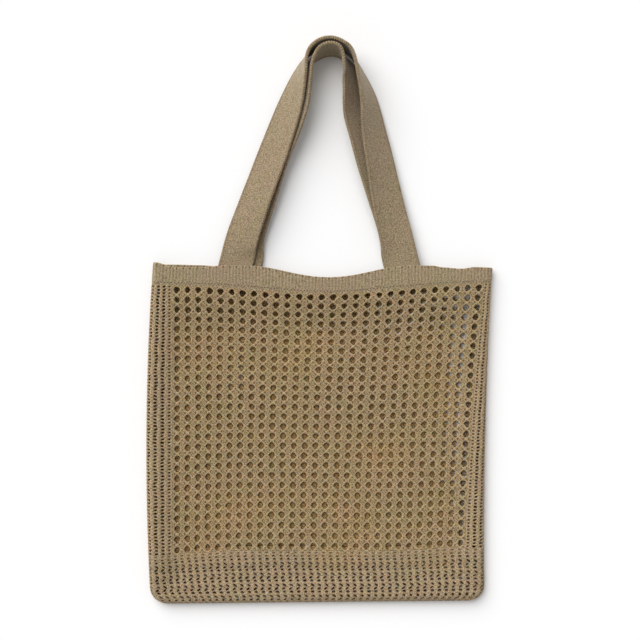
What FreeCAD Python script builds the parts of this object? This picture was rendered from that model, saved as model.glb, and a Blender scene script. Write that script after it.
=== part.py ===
import FreeCAD, Part
import math
import os

# Knitted mesh tote for fruit and vegetables, lying flat on its back, empty.
# +Z points up out of the front, +Y from the base to the handles, +X to the right
# as the front is seen. The origin is under the middle of the bag, on the surface
# that it lies on. Millimetres.

V = FreeCAD.Vector

# ---- driving dimensions ----
knit = 2.4                  # thickness of one knitted wall
loft = 7.2                  # space left between the front wall and the back wall
bag_thick = 2 * knit + loft
front_inner = knit + loft   # height of the front wall's inner face
middle = bag_thick / 2
same = 0.01                 # lengths closer than this count as equal
fold_slack = 0.05           # keeps the rounded folds just short of a full half circle

rim_height = 15.5           # ribbed band round the mouth
front_rim_y = 59.0          # top of the front rim at the handles
front_rim_dip = 12.0        # how far the front rim sags between the handles
back_rim_y = 62.0           # top of the back rim
back_rim_dip = 16.0         # the back rim sags a little lower, out of sight
dip_left, dip_right = -72.0, 91.0
base_band_y = -239.0        # where the openwork ends and the base band starts
base_left_y, base_right_y = -290.6, -287.2
corner_r = 17.0             # round of the two lower corners

left_top_x, left_mid_x, left_base_x = -172.5, -178.2, -175.5
right_top_x, right_mid_x, right_base_x = 179.1, 173.0, 170.5
side_mid_y = -60.0

mesh_wide_margin_x = -151.4     # edge of the openwork on the side with the wide band
mesh_top_x, mesh_base_x = 168.4, 150.4  # the other edge, at the mouth and at the base
mesh_slant_y = 40.0         # where that edge starts to come in

strap_width = 34.6
strap_thick = 2.6
sewn_end_y = 34.0           # where the sewn ends of the handles stop inside the bag
hinge_y = 67.0              # line just above the rim where the handles fold
hinge_gap = 0.3             # between a sewn end and the free part of its handle
leg_slant = 0.26            # how far the legs lean in, for each unit of height

seam_inset = knit + 0.15    # linking rows that stand in from the folded edge
seam_width = 2.0
seam_thick = 1.6
seam_below_handles = 6.0    # the side seams stop this far below the sewn ends

stitch = 0.6                # thickness of a stitch that stands on the strap
stitch_wide, stitch_tall = 1.2, 4.0
stitch_count = 6
stitch_margin = 2.0         # from the strap's edges to the first and last stitch
stitch_rise = 1.0           # from the strap's cut end up to the stitches

far = 220.0                 # beyond the pouch to either side
far_down, far_up = -330.0, 100.0    # beyond the base and beyond the rim

# The route of each handle's outer edge from the left leg round to the right one:
# x, y, height of the edge, and lean, from 0 flat to 90 standing on its edge. Past 90
# the strap leans out over its own edge, as it does where it bends round at the top.
front_leg_z = front_inner - strap_thick / 2
back_leg_z = knit + strap_thick / 2
FRONT_ROUTE = [
    (-102.4, hinge_y + hinge_gap, front_leg_z, 0),
    (-95.4, 93.0, 8.0, 14),
    (-79.5, 135.0, 7.2, 25),
    (-60.0, 185.0, 6.4, 29),
    (-42.0, 228.0, 5.2, 42),
    (-27.8, 257.0, 3.0, 63),
    (-15.0, 276.5, 1.7, 84),
    (-3.0, 285.4, 1.4, 90),
    (10.0, 288.1, 1.4, 92),
    (22.6, 285.6, 1.4, 91),
    (34.6, 277.5, 1.7, 88),
    (48.0, 256.0, 2.6, 75),
    (58.8, 232.0, 3.8, 60),
    (67.5, 202.0, 5.2, 44),
    (76.0, 170.0, 6.4, 34),
    (84.5, 135.0, 7.2, 22),
    (95.0, 95.0, 8.0, 8),
    (101.8, hinge_y + hinge_gap, front_leg_z, 0),
]
BACK_ROUTE = [
    (-94.0, hinge_y + hinge_gap, back_leg_z, 0),
    (-89.5, 96.0, 1.9, 9),
    (-76.0, 135.0, 1.5, 18),
    (-67.4, 160.0, 1.4, 22),
    (-58.5, 182.0, 1.4, 27),
    (-45.0, 207.0, 1.4, 36),
    (-31.0, 230.0, 1.4, 50),
    (-18.0, 252.0, 1.3, 70),
    (-8.6, 267.0, 1.3, 85),
    (-3.6, 272.6, 1.3, 89),
    (3.0, 276.9, 1.3, 91),
    (11.0, 278.9, 1.3, 92),
    (19.0, 277.4, 1.3, 91),
    (24.6, 272.2, 1.3, 87),
    (31.0, 259.0, 1.3, 74),
    (40.4, 243.0, 1.4, 58),
    (48.5, 220.0, 1.4, 44),
    (57.5, 196.0, 1.4, 38),
    (66.0, 170.0, 1.4, 33),
    (78.0, 140.0, 1.5, 24),
    (94.5, 98.0, 1.9, 8),
    (100.0, hinge_y + hinge_gap, back_leg_z, 0),
]


# ---- the pouch: one knitted skin, closed at the sides and base, open at the mouth ----
def pouch_outline(inset, mouth_y):
    """Plan outline of the pouch, moved in by inset at the sides and the base."""
    top_left = V(left_top_x + inset, mouth_y, 0)
    left_mid = V(left_mid_x + inset, side_mid_y, 0)
    left_low = V(left_base_x + inset, base_left_y + corner_r, 0)
    base_left = V(left_base_x + corner_r, base_left_y + inset, 0)
    base_right = V(right_base_x - corner_r, base_right_y + inset, 0)
    right_low = V(right_base_x - inset, base_right_y + corner_r, 0)
    right_mid = V(right_mid_x - inset, side_mid_y, 0)
    top_right = V(right_top_x - inset, mouth_y, 0)
    turn = (corner_r - inset) * (1 - math.sqrt(0.5))
    left_turn = V(left_base_x + inset + turn, base_left_y + inset + turn, 0)
    right_turn = V(right_base_x - inset - turn, base_right_y + inset + turn, 0)
    edges = [
        Part.Arc(top_left, left_mid, left_low).toShape(),
        Part.Arc(left_low, left_turn, base_left).toShape(),
        Part.LineSegment(base_left, base_right).toShape(),
        Part.Arc(base_right, right_turn, right_low).toShape(),
        Part.Arc(right_low, right_mid, top_right).toShape(),
        Part.LineSegment(top_right, top_left).toShape(),
    ]
    return Part.Wire(edges)


def rounded_slab(inset, mouth_y, low, high, fold_r):
    """A slab with the pouch's outline, its side and base edges rounded by fold_r."""
    face = Part.Face(pouch_outline(inset, mouth_y))
    face.translate(V(0, 0, low))
    slab = face.extrude(V(0, 0, high - low))
    folded = []
    for edge in slab.Edges:
        box = edge.BoundBox
        level = box.ZLength < same
        at_mouth = box.YMin > mouth_y - same
        if level and not at_mouth:
            folded.append(edge)
    return slab.makeFillet(fold_r, folded)


def band(points, low, high):
    """Upright prism over a plan polygon, for cutting a zone out of the pouch."""
    corners = [V(x, y, low) for x, y in points]
    return Part.Face(Part.makePolygon(corners + corners[:1])).extrude(V(0, 0, high - low))


def below_rim(top_y, dip, low):
    """Everything below a sagging rim line, in the half of the bag that starts at low."""
    left, right = V(dip_left, top_y, low), V(dip_right, top_y, low)
    lowest = V((dip_left + dip_right) / 2, top_y - dip, low)
    edges = [
        Part.LineSegment(V(-far, top_y, low), left).toShape(),
        Part.Arc(left, lowest, right).toShape(),
        Part.LineSegment(right, V(far, top_y, low)).toShape(),
        Part.LineSegment(V(far, top_y, low), V(far, far_down, low)).toShape(),
        Part.LineSegment(V(far, far_down, low), V(-far, far_down, low)).toShape(),
        Part.LineSegment(V(-far, far_down, low), V(-far, top_y, low)).toShape(),
    ]
    return Part.Face(Part.Wire(edges)).extrude(V(0, 0, middle))


outer = rounded_slab(0, back_rim_y, 0, bag_thick, middle - fold_slack)
hollow = rounded_slab(knit, back_rim_y, knit, front_inner, loft / 2 - fold_slack)
pouch = outer.cut(hollow)
front_half = pouch.common(below_rim(front_rim_y, front_rim_dip, middle))
back_half = pouch.common(below_rim(back_rim_y, back_rim_dip, 0))

front_below_rim = below_rim(front_rim_y - rim_height, front_rim_dip, middle)
back_below_rim = below_rim(back_rim_y - rim_height, back_rim_dip, 0)
above_base = band([(-far, base_band_y), (far, base_band_y), (far, far_up), (-far, far_up)], 0, bag_thick)


def mesh_zone(side, low, high):
    """Plan zone of the openwork; side 1 is the front, -1 the back, which is turned round."""
    corners = [
        (side * mesh_wide_margin_x, far_up),
        (side * mesh_top_x, far_up),
        (side * mesh_top_x, mesh_slant_y),
        (side * mesh_base_x, base_band_y),
        (side * mesh_wide_margin_x, base_band_y),
    ]
    return band(corners, low, high)


front_zone = mesh_zone(1, middle, bag_thick)
back_zone = mesh_zone(-1, 0, middle)
left_zone = band([(-far, far_down), (0, far_down), (0, far_up), (-far, far_up)], 0, bag_thick)

front_field = front_half.common(front_below_rim).common(above_base)
back_field = back_half.common(back_below_rim).common(above_base)
front_sides = front_field.cut(front_zone)
back_sides = back_field.cut(back_zone)
base = front_half.cut(above_base).fuse(back_half.cut(above_base))

parts = {
    "front_rim_band": front_half.cut(front_below_rim),
    "back_rim_band": back_half.cut(back_below_rim),
    "front_mesh_panel": front_field.common(front_zone),
    "back_mesh_panel": back_field.common(back_zone),
    "left_side_band": front_sides.common(left_zone).fuse(back_sides.common(left_zone)),
    "right_side_band": front_sides.cut(left_zone).fuse(back_sides.cut(left_zone)),
    "base_band": base,
}

# ---- linked seams: narrow rows of knitting that stand in from the folded edge ----
seam_low, seam_high = middle - seam_thick / 2, middle + seam_thick / 2
seam_top = sewn_end_y - seam_below_handles
seam_plan = Part.Face(pouch_outline(seam_inset, back_rim_y))
seam_plan = seam_plan.cut(Part.Face(pouch_outline(seam_inset + seam_width, back_rim_y)))
seam_plan.translate(V(0, 0, seam_low))
below_ends = band([(-far, far_down), (far, far_down), (far, seam_top), (-far, seam_top)], 0, bag_thick)
seam_ring = seam_plan.extrude(V(0, 0, seam_high - seam_low)).common(below_ends)
corner_y = base_left_y + corner_r
upper = band([(-far, corner_y), (far, corner_y), (far, far_up), (-far, far_up)], 0, bag_thick)
parts["left_side_seam"] = seam_ring.common(upper).common(left_zone)
parts["right_side_seam"] = seam_ring.common(upper).cut(left_zone)
parts["base_seam"] = seam_ring.cut(upper)


# ---- handles ----
def strap_corners(outer_edge, across, lean):
    """The four corners of a strap's section: outer edge at the route, rising inwards by lean."""
    rise = math.radians(lean)
    width = across * math.cos(rise) + V(0, 0, 1) * math.sin(rise)
    flat = across * (1 / across.Length)
    half = (V(0, 0, 1) * math.cos(rise) - flat * math.sin(rise)) * (strap_thick / 2)
    inner_edge = outer_edge + width * strap_width
    return [outer_edge - half, inner_edge - half, inner_edge + half, outer_edge + half]


def free_strap(route):
    """The part of a handle that swings: four smooth rails with ruled faces between them."""
    places = [V(x, y, z) for x, y, z, _ in route]
    fold_width = math.sqrt(1 + leg_slant**2)    # the ends are cut straight across along X
    sections = [strap_corners(places[0], V(fold_width, 0, 0), 0)]
    for before, place, after, stop in zip(places, places[1:], places[2:], route[1:]):
        heading = V(after.x - before.x, after.y - before.y, 0)
        heading.normalize()
        sections.append(strap_corners(place, V(heading.y, -heading.x, 0), stop[3]))
    sections.append(strap_corners(places[-1], V(-fold_width, 0, 0), 0))
    along = [0.0]
    for before, after in zip(sections, sections[1:]):
        along.append(along[-1] + ((after[0] + after[1]) - (before[0] + before[1])).Length / 2)
    rails = []
    for corner in range(4):
        rail = Part.BSplineCurve()
        rail.interpolate(Points=[section[corner] for section in sections], Parameters=along)
        rails.append(rail)
    faces = []
    for rail, beside in zip(rails, rails[1:] + rails[:1]):
        side = Part.BSplineSurface()
        side.buildFromPolesMultsKnots(
            [rail.getPoles(), beside.getPoles()],
            [2, 2], rail.getMultiplicities(), [0, 1], rail.getKnots(), False, False, 1, rail.Degree,
        )
        faces.append(side.toShape())
    for section in (sections[0], sections[-1]):
        faces.append(Part.Face(Part.makePolygon(section + section[:1])))
    shell = Part.Shell(faces)
    shell.sewShape()
    solid = Part.Solid(Part.Shell(shell.Faces))
    if solid.Volume < 0:
        solid.reverse()
    return solid


def sewn_end(edge_x, towards, low):
    """The end of a handle that is sewn flat inside the rim."""
    width = towards * strap_width * math.sqrt(1 + leg_slant**2)
    shift = towards * leg_slant * (hinge_y - sewn_end_y)
    corners = [
        (edge_x, hinge_y),
        (edge_x + width, hinge_y),
        (edge_x + width - shift, sewn_end_y),
        (edge_x - shift, sewn_end_y),
    ]
    return band(corners, low, low + strap_thick)


def end_stitches(edge_x, towards, low):
    """A row of short stitches along the lower end of a sewn handle."""
    run = strap_width * math.sqrt(1 + leg_slant**2) - 2 * stitch_margin
    first = stitch_margin - leg_slant * (hinge_y - sewn_end_y - stitch_rise - stitch_tall / 2)
    bars = []
    for i in range(stitch_count):
        x = edge_x + towards * (first + (i + 0.5) / stitch_count * run) - stitch_wide / 2
        bars.append(Part.makeBox(stitch_wide, stitch_tall, stitch, V(x, sewn_end_y + stitch_rise, low)))
    return Part.makeCompound(bars)


front_end_low = front_inner - strap_thick
handles = {
    "front": (FRONT_ROUTE, front_end_low, front_end_low - stitch),
    "back": (BACK_ROUTE, knit, knit + strap_thick),
}
for name, (route, end_low, stitch_low) in handles.items():
    parts[f"{name}_handle_strap"] = free_strap(route)
    for side, leg, towards in (("left", route[0], 1), ("right", route[-1], -1)):
        parts[f"{name}_{side}_handle_end"] = sewn_end(leg[0], towards, end_low)
        parts[f"{name}_{side}_handle_stitches"] = end_stitches(leg[0], towards, stitch_low)

os.makedirs("parts", exist_ok=True)
for name, shape in parts.items():
    clean = shape.removeSplitter()
    clean.exportStep(f"parts/{name}.step")
    box = clean.BoundBox
    sides = [box.XMin, box.XMax, box.YMin, box.YMax, box.ZMin, box.ZMax]
    state = f"valid {clean.isValid()} solids {len(clean.Solids)} volume {clean.Volume / 1000:.2f} cm3"
    print(name, state, [round(side, 1) for side in sides])
whole = Part.makeCompound(list(parts.values())).BoundBox
sides = [whole.XMin, whole.XMax, whole.YMin, whole.YMax, whole.ZMin, whole.ZMax]
print("whole", [round(side, 2) for side in sides])
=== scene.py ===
import bisect
import math
import random

import bmesh
import bpy
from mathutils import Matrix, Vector, noise


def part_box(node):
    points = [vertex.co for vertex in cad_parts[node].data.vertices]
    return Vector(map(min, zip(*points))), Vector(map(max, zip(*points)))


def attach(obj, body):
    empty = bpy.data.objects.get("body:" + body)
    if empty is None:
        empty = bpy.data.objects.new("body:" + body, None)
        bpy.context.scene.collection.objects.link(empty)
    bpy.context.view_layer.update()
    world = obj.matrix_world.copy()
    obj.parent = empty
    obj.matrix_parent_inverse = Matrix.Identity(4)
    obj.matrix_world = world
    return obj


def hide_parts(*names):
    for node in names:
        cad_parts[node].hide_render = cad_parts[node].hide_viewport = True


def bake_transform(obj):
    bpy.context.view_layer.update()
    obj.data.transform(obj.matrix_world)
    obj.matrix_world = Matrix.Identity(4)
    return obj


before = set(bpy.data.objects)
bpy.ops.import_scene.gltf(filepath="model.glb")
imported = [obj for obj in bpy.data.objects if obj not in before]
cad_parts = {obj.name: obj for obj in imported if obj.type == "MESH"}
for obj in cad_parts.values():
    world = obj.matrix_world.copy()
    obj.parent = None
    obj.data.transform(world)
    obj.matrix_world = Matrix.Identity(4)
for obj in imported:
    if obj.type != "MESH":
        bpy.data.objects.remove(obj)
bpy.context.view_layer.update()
random.seed(28)
mm = 0.001

# ---- Table, light and camera ----
# The empty bag lies flat on a white table and is seen from straight above, with a large
# soft light from the upper left and a pale room around it.
bpy.ops.object.select_all(action="DESELECT")
table_size = 40.0
bpy.ops.mesh.primitive_plane_add(size=table_size, location=(0, 0, 0))
table = bpy.context.object
table.name = "table_top"
table_paint = bpy.data.materials.new("white_table")
table_paint.use_nodes = True
paint = table_paint.node_tree.nodes["Principled BSDF"].inputs
paint["Base Color"].default_value = (0.93, 0.93, 0.93, 1)
paint["Roughness"].default_value = 0.85
paint["Specular IOR Level"].default_value = 0.1
table.data.materials.append(table_paint)

room_strength = 0.41
room = bpy.data.worlds.new("pale_room")
room.use_nodes = True
room.node_tree.nodes["Background"].inputs["Color"].default_value = (1.0, 1.0, 1.0, 1)
room.node_tree.nodes["Background"].inputs["Strength"].default_value = room_strength
bpy.context.scene.world = room

light_from = Vector((-0.5, 0.68, 0.85))
light_strength = 2.98
light_spread = math.radians(60)
bpy.ops.object.light_add(type="SUN", location=light_from)
lamp = bpy.context.object
lamp.name = "soft_window"
lamp.data.energy = light_strength
lamp.data.angle = light_spread
lamp.rotation_mode = "QUATERNION"
lamp.rotation_quaternion = (-light_from).to_track_quat("-Z", "Y")

eye_height = 1.35
seen_half_width = 332.5 * mm
half_sensor = 18.0
eye_x, eye_y = 0.5 * mm, 2.65 * mm
bpy.ops.object.camera_add(location=(eye_x, eye_y, eye_height), rotation=(0, 0, 0))
camera = bpy.context.object
camera.data.sensor_width = 2 * half_sensor
camera.data.lens = half_sensor * eye_height / seen_half_width
bpy.context.scene.camera = camera
bpy.context.scene.view_settings.view_transform = "Standard"

# ---- Openwork panels ----
# The front and back of the bag are one knitted mesh each: strands of cotton that cross
# on the slant leave a hole in every cell, and small plain diamonds fill the junctions.
half_knit = 1.2                         # half the thickness of a wall
columns, rows = 28, 27
panel_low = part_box("front_mesh_panel")[0] / mm
rim_low, rim_high = [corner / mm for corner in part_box("front_rim_band")]
bag_low, bag_high = [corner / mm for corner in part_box("base_band")]
middle = (bag_low.z + bag_high.z) / 2
fold_r = middle - half_knit             # bend of a wall's middle where it turns round an edge
quarter_turn = fold_r * math.pi / 2
fold_spare = quarter_turn - middle      # cloth that the bend takes beyond the plan outline
corner_r = 17.0
wall_sag = 5.9                          # the empty bag's front wall sinks towards the back one
sag_from_fold = 30.0                    # in this distance from a fold
sag_from_rim = 45.0                     # and in this distance from the rim
wave_wide, wave_tall, wave_height = 70.0, 55.0, 0.9


def ease(share):
    """A share held to 0 to 1 that starts and ends gently."""
    held = min(max(share, 0.0), 1.0)
    return held * held * (3 - 2 * held)


def through(places, at):
    """A smooth curve through three places, given as (position, value)."""
    total = 0.0
    for k, (p, value) in enumerate(places):
        share = value
        for other, (q, _) in enumerate(places):
            if other != k:
                share *= (at - q) / (p - q)
        total += share
    return total


def left_edge(y):
    """Where the left fold is at this height; the right fold and the base follow."""
    return through([(rim_high.y, -172.5), (-60.0, -178.2), (-273.6, -175.5)], y)


def right_edge(y):
    return through([(rim_high.y, 179.1), (-60.0, 173.0), (-273.6, 170.5)], y)


def base_edge(x):
    return through([(-175.5, -290.6), (0.0, -288.9), (170.5, -287.2)], x)


def inside_edge(x, y):
    """How far a plan place is inside the pouch's outline, and the way inwards."""
    left, right, low = x - left_edge(y), right_edge(y) - x, y - base_edge(x)
    side, way = (left, 1.0) if left < right else (right, -1.0)
    if side < corner_r and low < corner_r:
        inwards = Vector((way * (corner_r - side), corner_r - low))
        return corner_r - inwards.length, inwards.normalized()
    if side < low:
        return side, Vector((way, 0.0))
    return low, Vector((0.0, 1.0))


def lay(x, y, face, out):
    """Puts a place of the flattened cloth on the pouch: face 1 is the front, -1 the back."""
    depth, inwards = inside_edge(x, y)
    cloth = depth + fold_spare
    if cloth < quarter_turn:
        turn = max(cloth, 0.0) / fold_r
        shift = middle - fold_r * math.cos(turn) - depth
        flat = inwards * (shift - math.cos(turn) * out)
        return Vector((x + flat.x, y + flat.y, middle + face * math.sin(turn) * (fold_r + out)))
    from_fold = ease((cloth - quarter_turn) / sag_from_fold)
    from_rim = ease((rim_low.y - y) / sag_from_rim)
    wave = noise.noise(Vector((x / wave_wide, y / wave_tall, 3.0 * face))) * wave_height * from_fold
    sag = (wall_sag * from_rim * from_fold - wave) * (face > 0)
    return Vector((x, y, middle + face * (fold_r + out) - sag))


side_lap = 1.2                          # the mesh starts this far out in the left side band


def front_plan(u, v):
    """Plan place of column u and row v of the front mesh, rows counted down from the rim."""
    s, t = u / columns, (v - 0.5) / (rows - 1)
    left = panel_low.x - side_lap
    right = 169.8 - 28.0 * t + 9.0 * t * t
    x = left + (right - left) * (s - 0.004 * math.sin(2 * math.pi * s))
    top = 33.6 + 2.0 * s - 8.8 * math.sin(math.pi * s) ** 2
    foot = -235.5 + 8.0 * s + 2.0 * math.sin(2 * math.pi * s)
    y = top + (foot - top) * t + 4 * t * (1 - t) * (1.0 + 4.0 * math.sin(math.pi * s))
    return x, y


# where the two walls cling, so that their holes come nearer in line: x, y, half width, half height
CLINGS = [(-84.0, -58.0, 16.0, 40.0), (122.0, -42.0, 11.0, 24.0), (60.0, -228.0, 26.0, 9.0)]


def back_plan(u, v):
    """Plan place on the back mesh, which lies about half a cell away from the front one."""
    x, y = front_plan(u, v)
    s, t = u / columns, v / rows
    cling = sum(math.exp(-((x - cx) / w) ** 2 - ((y - cy) / h) ** 2) for cx, cy, w, h in CLINGS)
    apart = 1.0 - 0.55 * min(cling, 1.0)
    ends = min(1.0, 9.0 * s, 9.0 * (1.0 - s))
    return x - (5.4 + 5.0 * s * (1.0 - t)) * apart, y + 5.0 * ends * apart


def panel_end(plan, x, v):
    """Height of a panel's upper or lower end at a plan place x."""
    near, beyond = 0.0, float(columns)
    for _ in range(14):
        half_way = (near + beyond) / 2
        if plan(half_way, v)[0] < x:
            near = half_way
        else:
            beyond = half_way
    return plan(near, v)[1]


drift = 0.45                            # how far a stitch strays from its place
drift_turns = 0.7                       # bends of the drift in one cell


def wander(u, v):
    """A small smooth drift, so that rows and columns are not ruler straight."""
    place = Vector((u * drift_turns, v * drift_turns, 0.0))
    other = Vector((u * drift_turns, v * drift_turns, 9.0))
    return noise.noise(place) * drift, noise.noise(other) * drift


class Cloth:
    """Points and faces of one knitted piece; neighbouring stitches share their edges."""

    def __init__(self, name, place):
        self.name, self.place = name, place
        self.points, self.fabric, self.faces, self.known = [], [], [], {}

    def point(self, u, v, out, shared=None):
        """Adds a point of the cloth; shared names a layer whose points are used again."""
        key = (round(u, 4), round(v, 4), shared)
        if shared and key in self.known:
            return self.known[key]
        self.points.append(self.place(u, v, out) * mm)
        self.fabric.append((u, v))
        if shared:
            self.known[key] = len(self.points) - 1
        return len(self.points) - 1

    def rings(self, inner, outer):
        """Faces between two rings of points; a point that is in both closes to a triangle."""
        count = len(inner)
        for k in range(count):
            corners = [inner[k], inner[(k + 1) % count], outer[(k + 1) % count], outer[k]]
            kept = [c for n, c in enumerate(corners) if c != corners[n - 1]]
            if len(kept) > 2:
                self.faces.append(kept)

    def close(self, skip=lambda u, v: False):
        """Joins the open borders of the outside and the inside of the cloth."""
        sides = {}
        for face in self.faces:
            for a, b in zip(face, face[1:] + face[:1]):
                sides[(min(a, b), max(a, b))] = sides.get((min(a, b), max(a, b)), 0) + 1
        layer = {index: key for key, index in self.known.items()}
        for (a, b), uses in sides.items():
            if uses > 1 or layer.get(a, "...")[2] != "outside" or layer.get(b, "...")[2] != "outside":
                continue
            (u, v, _), (u2, v2, _) = layer[a], layer[b]
            if skip((u + u2) / 2, (v + v2) / 2):
                continue
            self.faces.append([a, b, self.known[(u2, v2, "inside")], self.known[(u, v, "inside")]])

    def make(self, joined=False):
        """The finished piece, with its fabric coordinates as a UV map."""
        mesh = bpy.data.meshes.new(self.name)
        mesh.from_pydata([tuple(p) for p in self.points], [], self.faces)
        uv = mesh.uv_layers.new(name="fabric")
        for loop in mesh.loops:
            uv.data[loop.index].uv = self.fabric[loop.vertex_index]
        shape = bmesh.new()
        shape.from_mesh(mesh)
        if joined:
            bmesh.ops.remove_doubles(shape, verts=shape.verts, dist=0.01 * mm)
        bmesh.ops.recalc_face_normals(shape, faces=shape.faces)
        for face in shape.faces:
            face.smooth = True
        shape.to_mesh(mesh)
        shape.free()
        piece = bpy.data.objects.new(self.name, mesh)
        bpy.context.scene.collection.objects.link(piece)
        return piece


# a cell's outline, in cells from its centre
SQUARE16 = [
    (0.5, 0), (0.5, 0.25), (0.5, 0.5), (0.25, 0.5), (0, 0.5), (-0.25, 0.5), (-0.5, 0.5), (-0.5, 0.25),
    (-0.5, 0), (-0.5, -0.25), (-0.5, -0.5), (-0.25, -0.5), (0, -0.5), (0.25, -0.5), (0.5, -0.5), (0.5, -0.25),
]
hole_wide, hole_tall = 0.285, 0.33      # half sizes, in cells
# how far parts of a stitch stand out from the middle of the wall
lip_out, crest_out, strand_out, crossing_out, groove_out, fill_out = 0.9, 1.3, 1.5, 1.6, 1.0, 1.3
border_out = 1.15                       # the field's own border, level with the bands round it


def mesh_stitch(cloth, i, j):
    """One cell: the hole with its point below, the crossing strands and the corner fills."""
    du, dv = random.uniform(-0.03, 0.03), random.uniform(-0.03, 0.03)
    size = random.uniform(0.92, 1.08)
    lean = random.uniform(-0.05, 0.1)
    corners_at = random.uniform(0.0, 2 * math.pi)
    centre_u, centre_v = i + 0.5, j + 0.5
    holes, strands, grooves, borders, unders = [], [], [], [], []
    for a, b in SQUARE16:
        reach = abs(a) + abs(b)
        strand = (a * 0.5 / reach, b * 0.5 / reach)
        angle = math.atan2(strand[1], strand[0])
        down = max(math.sin(angle), 0.0)
        uneven = size * (1 + 0.08 * math.cos(3 * angle + corners_at) + 0.04 * math.cos(6 * angle))
        hole = (
            hole_wide * math.cos(angle) * (1 - 0.22 * down) * uneven + lean * down,
            hole_tall * math.sin(angle) * (1 + 0.16 * down * down) * uneven,
        )
        holes.append((hole[0] + du, hole[1] + dv))
        strands.append(strand)
    low, inner, lip, crest, ridge = [], [], [], [], []
    for hole, strand in zip(holes, strands):
        low.append(cloth.point(centre_u + hole[0], centre_v + hole[1], -half_knit))
        inner.append(cloth.point(centre_u + hole[0] * 0.93, centre_v + hole[1] * 0.93, 0.0))
        lip.append(cloth.point(centre_u + hole[0], centre_v + hole[1], lip_out))
        half = ((hole[0] + strand[0]) / 2, (hole[1] + strand[1]) / 2)
        crest.append(cloth.point(centre_u + half[0], centre_v + half[1], crest_out))
    for (a, b), strand in zip(SQUARE16, strands):
        on_axis = a == 0 or b == 0
        on_top = 0.06 if a * b < 0 else 0.0
        at_border = centre_u + a in (0, columns) or centre_v + b in (0, rows)
        out = border_out if at_border else crossing_out if on_axis else fill_out
        border = cloth.point(centre_u + a, centre_v + b, out, "outside")
        borders.append(border)
        unders.append(cloth.point(centre_u + a, centre_v + b, -half_knit, "inside"))
        if on_axis:
            grooves.append(border)
            ridge.append(border)
        else:
            ridge.append(cloth.point(centre_u + strand[0], centre_v + strand[1], strand_out + on_top))
            between = ((a + 1.5 * strand[0]) / 2.5, (b + 1.5 * strand[1]) / 2.5)
            grooves.append(cloth.point(centre_u + between[0], centre_v + between[1], groove_out))
    for near, beyond in ((unders, low), (low, inner), (inner, lip), (lip, crest), (crest, ridge),
                         (ridge, grooves), (grooves, borders)):
        cloth.rings(near, beyond)


def knit_mesh(name, plan, face):
    """A whole openwork panel."""
    def place(u, v, out):
        x, y = plan(u, v)
        dx, dy = wander(u, v)
        return lay(x + dx, y + dy, face, out)
    cloth = Cloth(name, place)
    for j in range(rows):
        for i in range(columns):
            mesh_stitch(cloth, i, j)
    cloth.close()
    return cloth.make()


front_mesh = knit_mesh("front_openwork", front_plan, 1)
back_mesh = knit_mesh("back_openwork", back_plan, -1)


class Wire:
    """A socket of a node tree; arithmetic on it adds the Math nodes."""

    def __init__(self, tree, socket=None):
        self.tree, self.socket = tree, socket

    def node(self, kind, settings=None, sockets=None, output=0, stops=None):
        made = self.tree.nodes.new("ShaderNode" + kind)
        for key, value in (settings or {}).items():
            setattr(made, key, value)
        for element, (position, colour) in zip(made.color_ramp.elements if stops else [], stops or []):
            element.position, element.color = position, colour
        for key, value in (sockets or {}).items():
            if isinstance(value, Wire):
                self.tree.links.new(value.socket, made.inputs[key])
            else:
                made.inputs[key].default_value = value
        return Wire(self.tree, made.outputs[output] if made.outputs else None)

    def part(self, output):
        """Another output of the node that this wire comes from."""
        return Wire(self.tree, self.socket.node.outputs[output])

    def math(self, operation, *others):
        sockets = dict(enumerate((self,) + others))
        return self.node("Math", {"operation": operation}, sockets)

    def __add__(self, other):
        return self.math("ADD", other)

    __radd__ = __add__

    def __mul__(self, other):
        return self.math("MULTIPLY", other)

    __rmul__ = __mul__

    def __sub__(self, other):
        return self.math("SUBTRACT", other)

    def __rsub__(self, other):
        return self * -1.0 + other

    def __abs__(self):
        return self.math("ABSOLUTE")

    def bump_of(self, centre, width):
        """1 where the value is at centre, falling smoothly to 0 at width from it."""
        far = abs(self - centre)
        return self.node("MapRange", {"interpolation_type": "SMOOTHSTEP"},
                         {"Value": far, "From Min": 0.0, "From Max": width, "To Min": 1.0, "To Max": 0.0})

    def mix(self, first, second):
        """A colour between two, with this value as the share of the second."""
        return self.node("Mix", {"data_type": "RGBA"}, {0: self, 6: first, 7: second}, output=2)


def rgb(red, green, blue, tone):
    """A colour as the eye names it, in the linear values that a shader takes."""
    return tuple(((c / 255) ** 2.2) * tone for c in (red, green, blue)) + (1.0,)


# painted bounce light: the height round which, and the reach within which, the cloth between the walls is
# tinted browner, and that browner tint
painted_bounce_height, painted_bounce_reach = 3.6 * mm, 2.9 * mm
PLAIN = (1.0, 1.0, 1.0, 1.0)
PAINTED_BOUNCE_BROWN = (1.4, 1.12, 0.62, 1.0)


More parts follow.
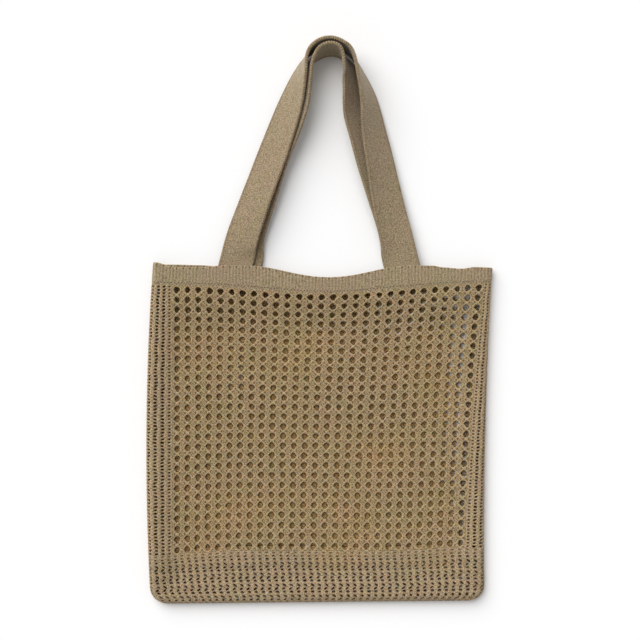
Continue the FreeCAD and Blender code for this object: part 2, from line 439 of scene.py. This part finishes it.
def cotton(name, stitches, tone=1.0, relief=0.5, outside=PLAIN, inside=PLAIN):
    """Matt cotton yarn: stitches(wire, u, v) gives its raised places and its sunken places, 0 to 1.
    Raised places get bump and a painted highlight of the pale colour; sunken places get bump and painted
    shade of the dark brown.
    The outside and the inside of the bag are tinted apart: near the middle height of the bag the inside
    factors paint a browner bounce light, for light that has passed from yarn to yarn between the walls;
    elsewhere the outside factors apply."""
    material = bpy.data.materials.new(name)
    material.use_nodes = True
    tree = material.node_tree
    tree.nodes.clear()
    start = Wire(tree)
    position = start.node("TexCoord", output=3)
    fabric = start.node("UVMap", {"uv_map": "fabric"})
    u = start.node("SeparateXYZ", sockets={0: fabric})
    v = u.part(1)
    level = start.node("SeparateXYZ", sockets={0: position}, output=2)
    raised, painted_shade_pits = stitches(start, u, v)
    patches = start.node("TexNoise", {}, {"Vector": position, "Scale": 38.0, "Detail": 3.0})
    clouds = start.node("TexNoise", {}, {"Vector": position, "Scale": 130.0, "Detail": 2.0})
    flecks = start.node("TexNoise", {}, {"Vector": position, "Scale": 820.0, "Detail": 1.0})
    fibre = start.node("TexNoise", {}, {"Vector": position, "Scale": 1500.0, "Detail": 3.0})
    body, pink, olive = rgb(151, 134, 107, tone), rgb(155, 131, 112, tone), rgb(142, 134, 99, tone)
    # pale: light fibre flecks and the painted highlight on raised places; dark brown: dark fibre flecks and
    # the painted shade in sunken places
    pale, dark_fleck_and_shade = rgb(182, 165, 136, tone), rgb(78, 54, 28, tone)
    melange = start.node("ValToRGB", {}, {"Fac": patches * 0.6 + clouds * 0.4},
                         stops=[(0.38, olive), (0.62, pink)])
    colour = start.node("Mix", {"data_type": "RGBA"}, {0: 0.5, 6: body, 7: melange}, output=2)
    # painted highlight: raised places are lightened towards the pale colour, along with pale fibre flecks
    colour = (raised * 0.45 + flecks.bump_of(0.72, 0.24) * 0.7).mix(colour, pale)
    colour = (flecks.bump_of(0.28, 0.24) * 0.5 + fibre.bump_of(0.3, 0.25) * 0.1).mix(colour, dark_fleck_and_shade)
    # painted shade: sunken places are darkened towards the dark brown
    colour = (painted_shade_pits * 0.85).mix(colour, dark_fleck_and_shade)
    # painted bounce light: near that height the colour is multiplied by the browner inside factors, elsewhere
    # by the outside ones
    painted_bounce_tint = level.bump_of(painted_bounce_height, painted_bounce_reach).mix(outside, inside)
    tinted = {"data_type": "RGBA", "blend_type": "MULTIPLY"}
    colour = start.node("Mix", tinted, {0: 1.0, 6: colour, 7: painted_bounce_tint}, output=2)
    height = raised * relief + fibre * 0.25 - painted_shade_pits * 0.9
    bump = start.node("Bump", {}, {"Height": height, "Strength": 0.85, "Distance": 0.55 * mm})
    shader = start.node("BsdfPrincipled", {}, {
        "Base Color": colour, "Roughness": 0.95 - raised * 0.12, "Normal": bump,
        "Subsurface Weight": 0.4, "Subsurface Radius": (1.0, 0.5, 0.2), "Subsurface Scale": 2.5 * mm,
        "Sheen Weight": 0.2, "Sheen Roughness": 0.5, "Specular IOR Level": 0.2,
    })
    start.node("OutputMaterial", {}, {"Surface": shader})
    return material


def openwork_stitches(start, u, v):
    """Strands on the slant, and in each junction short leaning stitches with pin holes; strands and crossings
    come back raised, for bump and a painted highlight, and pin holes and the gaps between stitches dark, for
    bump and painted shade.
    """
    a, b = (u + 0.5).math("FRACT") - 0.5, (v + 0.5).math("FRACT") - 0.5
    reach = abs(a) + abs(b)
    strand = reach.bump_of(0.5, 0.08)
    filled = reach.bump_of(0.0, 0.6)
    slant = ((a * 1.2 + b) * (2 * math.pi * 4.3)).math("SINE") * 0.5 + 0.5
    cross = ((a - b * 1.1) * (2 * math.pi * 3.1)).math("SINE") * 0.5 + 0.5
    # painted shade: the pin holes in each junction are darkened
    pin = abs(a).bump_of(0.25, 0.1) * abs(b).bump_of(0.04, 0.12)
    pin = pin + abs(a).bump_of(0.0, 0.09) * b.bump_of(-0.34, 0.11)
    pin = pin + abs(a).bump_of(0.1, 0.08) * b.bump_of(0.19, 0.1) * 0.8
    pin = pin + abs(a).bump_of(0.0, 0.07) * b.bump_of(0.37, 0.09)
    crossing = abs(a).bump_of(0.5, 0.12) * abs(b).bump_of(0.0, 0.16)
    crossing = crossing + abs(a).bump_of(0.0, 0.12) * abs(b).bump_of(0.5, 0.16)
    # painted shade: the gaps between the leaning stitches are darkened
    painted_gap_shade = (1 - slant) * (1 - cross) * filled * (1 - strand)
    return strand * 0.3 + crossing * 0.5 + slant * filled * 0.35, pin + painted_gap_shade * 0.8


openwork_knit = cotton("openwork_cotton", openwork_stitches, outside=(1.14, 1.1, 0.98, 1.0), inside=PAINTED_BOUNCE_BROWN)
for piece, node in ((front_mesh, "front_mesh_panel"), (back_mesh, "back_mesh_panel")):
    piece.data.materials.append(openwork_knit)
    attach(piece, "bag")
    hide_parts(node)

# ---- Side bands ----
# Along each side a dense band with columns of small eyelets is knitted in one with the
# panels and folded round the edge, so that no seam shows from outside.
SQUARE8 = [(0.5, 0), (0.5, 0.5), (0, 0.5), (-0.5, 0.5), (-0.5, 0), (-0.5, -0.5), (0, -0.5), (0.5, -0.5)]
rows_per_cell = 3
band_rows = rows_per_cell * rows
side_columns = 7
eyelet_wide, eyelet_tall = 0.26, 0.34   # half sizes, in cells
overlap = 0.6                           # knitted on into the panels


def band_stitch(cloth, i, j, wide, tall, tilt=0.0, shift=0.0, sag=0.0, level=False):
    """One small eyelet: an oval hole, a loop round it and the ribs between columns."""
    centre_u, centre_v = i + 0.5, j + 0.5
    low, lip, loop, borders, unders = [], [], [], [], []
    for a, b in SQUARE8:
        angle = math.atan2(b, a)
        across, down = wide * math.cos(angle), tall * math.sin(angle)
        hole = (across + shift, down + tilt * across + sag * (1 - (across / wide) ** 2))
        low.append(cloth.point(centre_u + hole[0], centre_v + hole[1], -half_knit))
        lip.append(cloth.point(centre_u + hole[0], centre_v + hole[1], 0.7))
        half = (hole[0] * 0.45 + a * 0.55, hole[1] * 0.45 + b * 0.55)
        loop.append(cloth.point(centre_u + half[0], centre_v + half[1], 1.25))
        out = border_out if level else 1.4 if b == 0 else 0.95
        borders.append(cloth.point(centre_u + a, centre_v + b, out, "outside"))
        unders.append(cloth.point(centre_u + a, centre_v + b, -half_knit, "inside"))
    for near, beyond in ((unders, low), (low, lip), (lip, loop), (loop, borders)):
        cloth.rings(near, beyond)


def side_band(name, panel_u, way):
    """A band from one side of the front mesh, round the fold, to the same side of the back mesh."""
    def place(u, v, out):
        row = v / rows_per_cell
        x, y = front_plan(panel_u, row)
        back_x, back_y = back_plan(panel_u, row)
        dx, dy = wander(panel_u, row)
        edge = (left_edge(y) if way < 0 else right_edge(y)) + way * fold_spare
        front_run, back_run = abs(edge - x), abs(edge - back_x)
        share = (u / side_columns) ** 1.07
        run = (front_run + back_run + 2 * overlap) * share - overlap
        ripple = 0.35 * math.sin(v * 0.9) * math.sin(math.pi * u / side_columns)
        if run <= front_run:
            share = max(run / front_run, 0.0)
            return lay(x + way * run + dx * (1 - share) + ripple, y + dy * (1 - share), 1, out)
        share = min((run - front_run) / back_run, 1.0)
        return lay(edge - way * (run - front_run) + ripple, y + (back_y - y) * share, -1, out)
    cloth = Cloth(name, place)
    for j in range(band_rows):
        for i in range(side_columns):
            size = random.uniform(0.85, 1.15) * (0.62 if i == 0 else 1.0)
            tilt = 0.7 * math.sin(0.85 * j + 0.9 * i) + random.uniform(-0.3, 0.5)
            shift = random.uniform(-0.06, 0.06)
            wide, tall = eyelet_wide * size, eyelet_tall * size
            band_stitch(cloth, i, j, wide, tall, tilt, shift, level=i == 0)
    cloth.close()
    return cloth.make()


def band_stitches(start, u, v):
    """Loops that pass from eyelet to eyelet, with the yarn's slant; the loops come back raised, for bump and
    a painted highlight, and the corners between loops and the eyelets' mouths dark, for bump and painted
    shade.
    """
    a, b = u.math("FRACT") - 0.5, v.math("FRACT") - 0.5
    loop = b.bump_of(0.0, 0.5) * 0.4 + abs(a).bump_of(0.5, 0.16) * 0.6
    slant = ((a * 1.5 + b) * (2 * math.pi * 2.0)).math("SINE") * 0.5 + 0.5
    # painted shade: the corners between loops and the eyelets' mouths are darkened
    painted_pit_shade = abs(a).bump_of(0.5, 0.1) * abs(b).bump_of(0.5, 0.22) * 0.7
    painted_eyelet_shade = (a * a * 1.6 + b * b).bump_of(0.0, 0.2)
    return loop * 0.6 + slant * 0.3, painted_pit_shade + painted_eyelet_shade * 0.6


band_knit = cotton("band_cotton", band_stitches, outside=(1.15, 1.1, 1.04, 1.0), inside=PAINTED_BOUNCE_BROWN)
left_band = side_band("left_side_band_knit", 0, -1)
right_band = side_band("right_side_band_knit", columns, 1)
for piece, node in ((left_band, "left_side_band"), (right_band, "right_side_band")):
    piece.data.materials.append(band_knit)
    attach(piece, "bag")
    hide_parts(node)

# ---- Base band ----
# A deeper band of the same yarn closes the bag: columns of stacked slots run from the front
# round the base to the back, and the two sides are folded like the bands above.
base_columns, base_rows = 48, 15
slot_wide, slot_tall = 0.24, 0.34       # half sizes, in cells
base_chord = 340.0                      # of the base edge, for its slight slope
base_left, base_run = -178.0, 350.0
base_top = []                           # front and back, at every half column
for k in range(2 * base_columns + 1):
    x = base_left + base_run * k / (2 * base_columns)
    base_top.append((panel_end(front_plan, x, rows), panel_end(back_plan, x, rows)))


def base_place(u, v, out):
    """Column u and row v of the base band; its columns lean over towards the panels."""
    face = 1 if v <= base_rows else -1
    level = v / base_rows if face > 0 else 2 - v / base_rows
    share = u / base_columns
    base = base_edge((share - 0.5) * base_chord) - fold_spare
    lean = (5.0 - 2.6 * share) * (1 - level) * min(1.0, 8 * share, 8 * (1 - share))
    at = min(max(2 * (u - lean * base_columns / base_run), 0.0), 2 * base_columns - 0.001)
    near, beyond = base_top[int(at)][face < 0], base_top[int(at) + 1][face < 0]
    top = near + (beyond - near) * (at - int(at))
    y = top + overlap + (base - top - overlap) * level
    reach = corner_r + fold_spare
    rise = y - (base + reach)
    bend = 0.0 if rise > 0 else reach - math.sqrt(max(reach * reach - rise * rise, 0.0))
    left = left_edge(max(y, base + reach)) - fold_spare + bend
    right = right_edge(max(y, base + reach)) + fold_spare - bend
    return lay(left + (right - left) * share - lean, y, face, out)


# the slots of one column come in threes, counted up from the fold: sideways, slope, rise
SLOT_GROUP = [(0.02, 0.15, -0.2), (-0.09, -1.1, 0.02), (0.1, 1.3, 0.12)]
base_cloth = Cloth("base_band_knit", base_place)
for j in range(2 * base_rows):
    from_fold = base_rows - 1 - j if j < base_rows else j - base_rows
    sideways, slope, rise = SLOT_GROUP[from_fold % 3]
    from_panel = min(j, 2 * base_rows - 1 - j)
    small = (0.3, 0.6, 0.8)[from_panel] if from_panel < 3 else 1.0
    for i in range(base_columns):
        size = small * random.uniform(0.85, 1.15)
        shift = sideways + random.uniform(-0.04, 0.04)
        tilt = slope + random.uniform(-0.2, 0.2)
        wide, tall = slot_wide * size, slot_tall * size
        band_stitch(base_cloth, i, j, wide, tall, tilt, shift, sag=rise, level=from_panel == 0)
base_cloth.close(skip=lambda u, v: u in (0, base_columns))
base_band = base_cloth.make(joined=True)
base_knit = cotton("base_cotton", band_stitches, outside=(1.07, 1.03, 1.0, 1.0), inside=PAINTED_BOUNCE_BROWN)
base_band.data.materials.append(base_knit)
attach(base_band, "bag")
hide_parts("base_band")

# ---- Rims ----
# Each wall ends in a ribbed welt, two layers of knitting turned down and linked on along two
# rows of pin holes. Both have slackened and sag between the handles.
rib_count = 104
dip_left, dip_right = -72.0, 91.0
front_rim_dip, back_rim_dip = 12.0, 15.0
ribs_end, pins_at, lower_pins_at = 0.74, 0.86, 0.93   # from the upper edge, 0, to the foot, 1
# upper edges from corner to corner, before the dip is taken off: x, y
FRONT_TOP = [
    (-178.0, 62.8), (-170.0, 62.2), (-148.0, 56.9), (-128.0, 56.6), (-100.0, 58.8),
    (116.0, 58.8), (128.0, 56.9), (146.0, 55.6), (160.0, 57.2), (182.0, 56.6),
]
BACK_TOP = [
    (-178.0, 60.4), (-150.0, 60.2), (-126.0, 59.6), (-98.0, 58.0),
    (116.0, 58.0), (146.0, 55.2), (182.0, 56.0),
]


def follow(places, at):
    """A wavy line through places (position, value) that is level at each of them."""
    for (p, value), (q, following) in zip(places, places[1:]):
        if at <= q:
            return value + (following - value) * ease((at - p) / (q - p))
    return places[-1][1]


def rim_line(x, tops, dip):
    """Height of a rim's upper edge, which sags between the handles."""
    half = (dip_right - dip_left) / 2
    from_lowest = abs(x - (dip_left + dip_right) / 2) / half
    sag = (0.5 + 0.5 * math.cos(math.pi * min(from_lowest, 1.0))) ** 0.85
    return follow(tops, x) - dip * sag


def rim(name, tops, dip, plan, face):
    """A ribbed welt from fold to fold, with its ribs, pin holes and plain foot."""
    left, right = left_edge(rim_high.y) - fold_spare, right_edge(rim_high.y) + fold_spare
    feet = []
    for k in range(rib_count + 2):
        feet.append(panel_end(plan, left + (right - left) * k / rib_count, 0.0) - overlap)

    def place(u, v, out):
        x = left + (right - left) * u / rib_count
        foot = feet[int(u)] + (feet[int(u) + 1] - feet[int(u)]) * (u - int(u))
        y = rim_line(x, tops, dip) * (1 - v) + foot * v
        flare = (left_edge(y) - left_edge(rim_high.y)) * max(1 - 6 * u / rib_count, 0.0)
        return lay(x + flare, y, face, out)

    levels = [0, 0.03, 0.08, 0.16, 0.28, 0.4, 0.52, 0.64, 0.72, 0.78, 0.82]
    levels += [pins_at, 0.9, lower_pins_at, 0.96, 1.0]
    cloth = Cloth(name, place)
    for v in levels:
        edge = min(v / 0.06, 1.0)
        for k in range(4 * rib_count + 1):
            u = k / 4
            in_rib = 0.5 - 0.5 * math.cos(2 * math.pi * u)
            tall = 0.42 if int(u) % 2 else 0.26
            ribbed = 1.0 if v < ribs_end else max(0.0, 1 - (v - ribs_end) / 0.1)
            out = 0.95 + tall * in_rib * (0.25 + 0.75 * ribbed)
            if v == pins_at and k % 4 == 2 or v == lower_pins_at and k % 8 == 4:
                out = -0.35
            out = out * (0.35 + 0.65 * math.sqrt(edge))
            cloth.point(u, v, out, "outside")
            cloth.point(u, v, -half_knit * (0.35 + 0.65 * math.sqrt(edge)), "inside")
    for layer in ("outside", "inside"):
        for v, v2 in zip(levels, levels[1:]):
            for k in range(4 * rib_count):
                corners = [(k / 4, v), ((k + 1) / 4, v), ((k + 1) / 4, v2), (k / 4, v2)]
                cloth.faces.append([cloth.known[(round(u, 4), round(w, 4), layer)] for u, w in corners])
    cloth.close()
    return cloth.make()


def rim_stitches(start, u, v):
    """Fine upright ribs above, with a row of pin holes below them; ribs and the upper edge come back raised,
    for bump and a painted highlight, and pin holes, the valleys between ribs and a row of dots near the upper
    edge dark, for bump and painted shade.
    """
    a = u.math("FRACT") - 0.5
    pair = (u * 0.5).math("FRACT") - 0.5
    fading = {"Value": v, "From Min": 0.72, "From Max": 0.84, "To Min": 1.0, "To Max": 0.25}
    high = v.node("MapRange", {}, fading)
    rib = abs(a).bump_of(0.0, 0.3) * high
    # painted highlight: the upper edge is lightened as well as raised
    edge = v.bump_of(0.0, 0.04)
    painted_pit_shade = abs(a).bump_of(0.0, 0.3) * v.bump_of(pins_at, 0.045)
    painted_pit_shade = painted_pit_shade + abs(pair).bump_of(0.5, 0.15) * v.bump_of(lower_pins_at, 0.035) * 0.8
    # painted shade: the valleys between ribs and a row of dots near the upper edge are darkened
    painted_valley_shade = abs(a).bump_of(0.5, 0.2) * high * 0.25
    painted_valley_shade = painted_valley_shade + abs(pair).bump_of(0.5, 0.22) * v.bump_of(0.07, 0.06) * 0.9
    loops = ((v * 50.0 + u * 2.0).math("SINE") * 0.5 + 0.5) * 0.2
    return rib * 0.2 + abs(pair).bump_of(0.25, 0.07) * high * 0.35 + edge * 0.6 + loops, painted_pit_shade + painted_valley_shade


rim_knit = cotton("rim_cotton", rim_stitches)
front_rim = rim("front_rim_knit", FRONT_TOP, front_rim_dip, front_plan, 1)
back_rim = rim("back_rim_knit", BACK_TOP, back_rim_dip, back_plan, -1)
for piece, node in ((front_rim, "front_rim_band"), (back_rim, "back_rim_band")):
    piece.data.materials.append(rim_knit)
    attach(piece, "bag")
    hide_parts(node)

# ---- Handles ----
# Two long straps of close jersey, whipped along both edges. Each runs from one sewn end inside
# the rim, up round the bend and down to the other; at the bend it turns up on its edge.
strap_width, strap_thick = 34.6, 2.4
sewn_end_y, hinge_y = 34.0, 67.0
leg_slant = 0.26
whip_pitch = 2.3
edge_rise = 0.5                         # room for the thick whipped edge over the table
# the outer edge from the left sewn end round to the right one: x, y, z, lean in degrees
FRONT_ROUTE = [
    (-102.4, 67.3, 8.3, 0), (-95.4, 93, 7.2, 14), (-79.5, 135, 5.6, 25), (-60, 185, 4.8, 29),
    (-42, 228, 3.8, 42), (-27.5, 256, 2.2, 63), (-14, 274.5, 1.5, 86), (-2.5, 282, 1.4, 95),
    (10, 284.5, 1.4, 98), (22, 282.2, 1.4, 96), (33.5, 275.5, 1.5, 90), (47, 255, 1.8, 75),
    (58.5, 232, 2.6, 60), (67.5, 202, 3.8, 44), (76, 170, 4.8, 34), (84.5, 135, 5.6, 22),
    (95, 95, 7.4, 8), (101.8, 67.3, 8.3, 0),
]
BACK_ROUTE = [
    (-94, 67.3, 3.7, 0), (-89.5, 96, 1.9, 9), (-76, 135, 1.5, 18), (-67.4, 160, 1.4, 22),
    (-58.5, 182, 1.4, 27), (-45, 207, 1.4, 36), (-32, 230, 1.4, 49), (-22.5, 253, 1.3, 63),
    (-13, 267.6, 1.3, 77), (-4.2, 271.8, 1.3, 91), (3, 275.4, 1.3, 99), (11.5, 277.4, 1.3, 101),
    (20.8, 275.8, 1.3, 95), (33.5, 268.5, 1.3, 69), (41.5, 256.5, 1.3, 57), (44.6, 243, 1.4, 53),
    (49.4, 220, 1.4, 43), (57.5, 196, 1.4, 38), (66, 170, 1.4, 34), (78, 140, 1.5, 26),
    (94.5, 98, 1.9, 9), (100, 67.3, 3.7, 0),
]


def glide(points, at):
    """A smooth line through points, at counts along them."""
    k = min(int(at), len(points) - 2)
    t = at - k
    before = points[k - 1] if k > 0 else points[0] * 2 - points[1]
    after = points[k + 2] if k + 2 < len(points) else points[-1] * 2 - points[-2]
    p, q = points[k], points[k + 1]
    return p + ((q - before) * t + (2 * before - 5 * p + 4 * q - after) * t**2
                + (3 * p - before - 3 * q + after) * t**3) / 2


def strap_edges(route):
    """The outer and the inner edge of a handle, from the end of one sewn leg to the other."""
    outer, inner = [], []
    for k, (x, y, z, lean) in enumerate(route):
        before, after = route[max(k - 1, 0)], route[min(k + 1, len(route) - 1)]
        heading = Vector((after[0] - before[0], after[1] - before[1]))
        heading.normalize()
        if k in (0, len(route) - 1):
            heading = Vector((0.0, 1.0 if k == 0 else -1.0))
        rise = math.radians(lean)
        across = Vector((heading.y, -heading.x, 0)) * math.cos(rise) + Vector((0, 0, 1)) * math.sin(rise)
        width = strap_width * (math.sqrt(1 + leg_slant**2) if lean == 0 else 1.0)
        outer.append(Vector((x, y, z + edge_rise * math.cos(rise))))
        inner.append(outer[-1] + across * width)
    sewn = hinge_y - sewn_end_y
    for edge in (outer, inner):
        left_foot = Vector((-leg_slant * sewn, -sewn, 0))
        right_foot = Vector((leg_slant * sewn, -sewn, 0))
        edge[0:0] = [edge[0] + left_foot, edge[0] + left_foot * 0.5]
        edge.extend([edge[-1] + right_foot * 0.5, edge[-1] + right_foot])
    return outer, inner


def strap_section():
    """Round a cut through the strap: how far across, how far out in half thicknesses, if whipped."""
    flat_from, flat_steps = 5.3, 10
    rounding = [(0.0, 0.0, True), (0.35, 0.85, True), (1.2, 1.4, True)]
    rounding += [(2.3, 1.15, False), (3.4, 0.96, False)]
    upper = list(rounding)
    for n in range(flat_steps + 1):
        upper.append((flat_from + (strap_width - 2 * flat_from) * n / flat_steps, 1.0, False))
    upper += [(strap_width - across, out, whipped) for across, out, whipped in reversed(rounding)]
    return upper + [(across, -out, whipped) for across, out, whipped in reversed(upper[1:-1])]


def strap(name, route):
    """A handle with both of its sewn ends, and its length."""
    outer, inner = strap_edges(route)

    def midline(at):
        return (glide(outer, at) + glide(inner, at)) / 2

    steps = 40                          # lengths measured from each point of the route to the next
    along = [0.0]
    for k in range((len(outer) - 1) * steps):
        along.append(along[-1] + (midline((k + 1) / steps) - midline(k / steps)).length)
    length = along[-1]

    def station(distance):
        """The count along the route at which this much of the strap is passed."""
        k = min(bisect.bisect_right(along, distance), len(along) - 1) - 1
        return (k + (distance - along[k]) / (along[k + 1] - along[k])) / steps

    half = strap_thick / 2
    section = strap_section()
    ring = len(section)
    count = int(length / (whip_pitch / 4))
    nudge = 1e-3                        # along the route, for the strap's heading
    cloth = Cloth(name, None)
    for s in range(count + 1):
        distance = length * s / count
        at = station(min(distance, length - 1e-6))
        before = at if at + nudge < len(outer) - 1 else at - nudge
        tangent = midline(before + nudge) - midline(before)
        width = glide(inner, at) - glide(outer, at)
        normal = width.cross(tangent).normalized()
        centre, width_way = midline(at), width.normalized()
        whip = abs(math.sin(math.pi * distance / whip_pitch))
        end_taper = min(1.0, 0.35 + min(distance, length - distance) / 1.5)
        sway = noise.noise(Vector((distance / 26.0, 5.0, 0.0))) * 0.2
        for across, out, whipped in section:
            fuzz = noise.noise(Vector((distance / 3.0, across / 3.0, 1.0))) * 0.1
            bulge = 0.5 * whip - 0.15 if whipped else 0.0
            sideways = (across / strap_width - 0.5) * (width.length + 2 * bulge) + sway
            up = out * (half + bulge * 0.6 + fuzz) * end_taper
            cloth.points.append((centre + width_way * sideways + normal * up) * mm)
            cloth.fabric.append((across, distance))
    for s in range(count):
        for k in range(ring):
            a, b = s * ring + k, s * ring + (k + 1) % ring
            cloth.faces.append([a, b, b + ring, a + ring])
    cloth.faces.append(list(range(ring)))
    cloth.faces.append(list(range(count * ring, (count + 1) * ring)))
    return cloth.make(), length


def strap_stitches(start, u, v):
    """Close jersey: narrow columns of slanting stitches, and whipping along both edges; stitches and whipping
    turns come back raised, for bump and a painted highlight, and the grooves between columns, the gaps
    between turns and the strip beside each whipped edge dark, for bump and painted shade.
    """
    stitch_wide, stitch_tall = 1.45, 1.25
    from_middle = abs(u - strap_width / 2)
    a = (u * (1 / stitch_wide)).math("FRACT") - 0.5
    vee = ((v * (1 / stitch_tall) + abs(a) * 1.3) * (2 * math.pi)).math("SINE") * 0.5 + 0.5
    painted_groove_shade = abs(a).bump_of(0.5, 0.22)
    whip = abs((v * (math.pi / whip_pitch)).math("SINE"))
    edge = from_middle.bump_of(strap_width / 2, 1.5)
    painted_crease_shade = from_middle.bump_of(strap_width / 2 - 2.0, 0.9)
    # painted highlight on stitches and whipping turns; painted shade in grooves, between turns and beside the
    # whipped edges
    raised = vee * (1 - edge) * 0.4 + whip * edge * 0.45
    return raised, painted_groove_shade * (1 - edge) * 0.25 + edge * (1 - whip) * 0.7 + painted_crease_shade * 0.25


handle_knit = cotton("handle_cotton", strap_stitches, relief=0.4)
for side, route in (("front", FRONT_ROUTE), ("back", BACK_ROUTE)):
    body = f"{side}_handle"
    piece, length = strap(f"{side}_strap", route)
    piece.data.materials.append(handle_knit)
    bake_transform(piece)
    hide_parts(f"{body}_strap", f"{side}_left_handle_end", f"{side}_right_handle_end")
    length * mm

# ---- Hidden seams and sewing ----
# The linking rows inside the edges and the short stitches that hold the handle ends are
# of the same yarn, pulled tight.


def linking_stitches(start, u, v):
    """Tight oblique turns of yarn, laid by place because these pieces have no woven grain; the turns come
    back raised, for bump and a painted highlight, and the spaces between them dark, for bump and painted
    shade.
    """
    position = start.node("TexCoord", output=3)
    twist = {"Vector": position, "Scale": 260.0, "Distortion": 1.5}
    turns = start.node("TexWave", {"bands_direction": "DIAGONAL"}, twist, output=1)
    # painted shade: the spaces between turns are darkened a little
    return turns * 0.7, (1 - turns) * 0.25


linking_yarn = cotton("linking_cotton", linking_stitches, tone=0.92)
for node in ("left_side_seam", "right_side_seam", "base_seam", "front_left_handle_stitches",
             "front_right_handle_stitches", "back_left_handle_stitches", "back_right_handle_stitches"):
    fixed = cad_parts[node]
    fixed.data.materials.clear()
    fixed.data.materials.append(linking_yarn)
